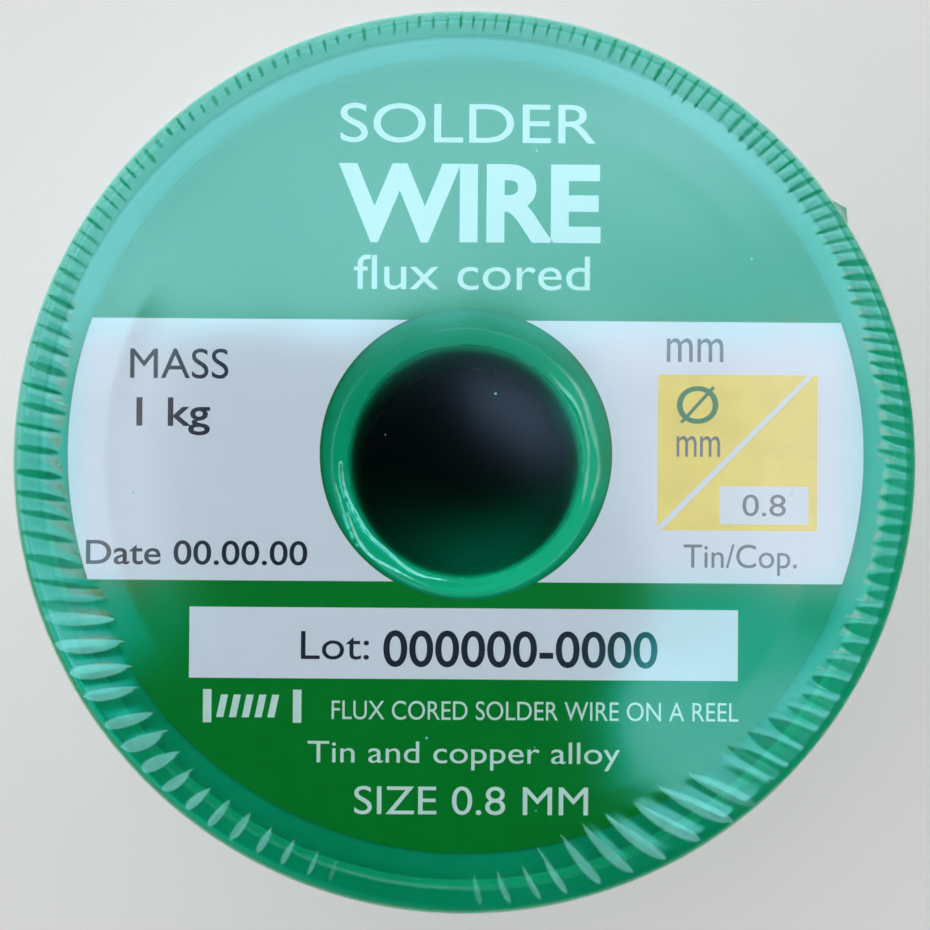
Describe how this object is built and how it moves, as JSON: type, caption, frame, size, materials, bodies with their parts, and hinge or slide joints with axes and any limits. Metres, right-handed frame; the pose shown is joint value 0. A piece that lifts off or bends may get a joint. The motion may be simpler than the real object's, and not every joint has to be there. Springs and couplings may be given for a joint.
{
  "type": "solder wire spool",
  "caption": "Full plastic reel of solder wire with a round printed label in its recessed front flange, wrapped in pleated clear shrink film, with a plain through bore for a spindle.",
  "frame": {"origin": "on the spool axis at the surface that the reel lies on, under its rear flange", "axes": "+Z along the spool axis, from the rear flange to the labelled front flange; the label reads along +X, with its top towards +Y"},
  "size_m": [0.096, 0.096, 0.0504],
  "materials": {
    "reel_plastic": "moulded styrene, satin to gloss",
    "solder": "bright drawn tin alloy wire, slightly dulled",
    "tape": "matte masking tape",
    "label": "glossy printed label",
    "film": "clear heat-shrink film"
  },
  "bodies": {
    "root": {"front_flange": "reel_plastic", "rear_flange": "reel_plastic", "core_barrel": "reel_plastic", "solder_winding": "solder", "wire_start": "solder", "wire_end": "solder", "end_tape": "tape", "front_label": "label", "shrink_film": "film"}
  },
  "joints": []
}
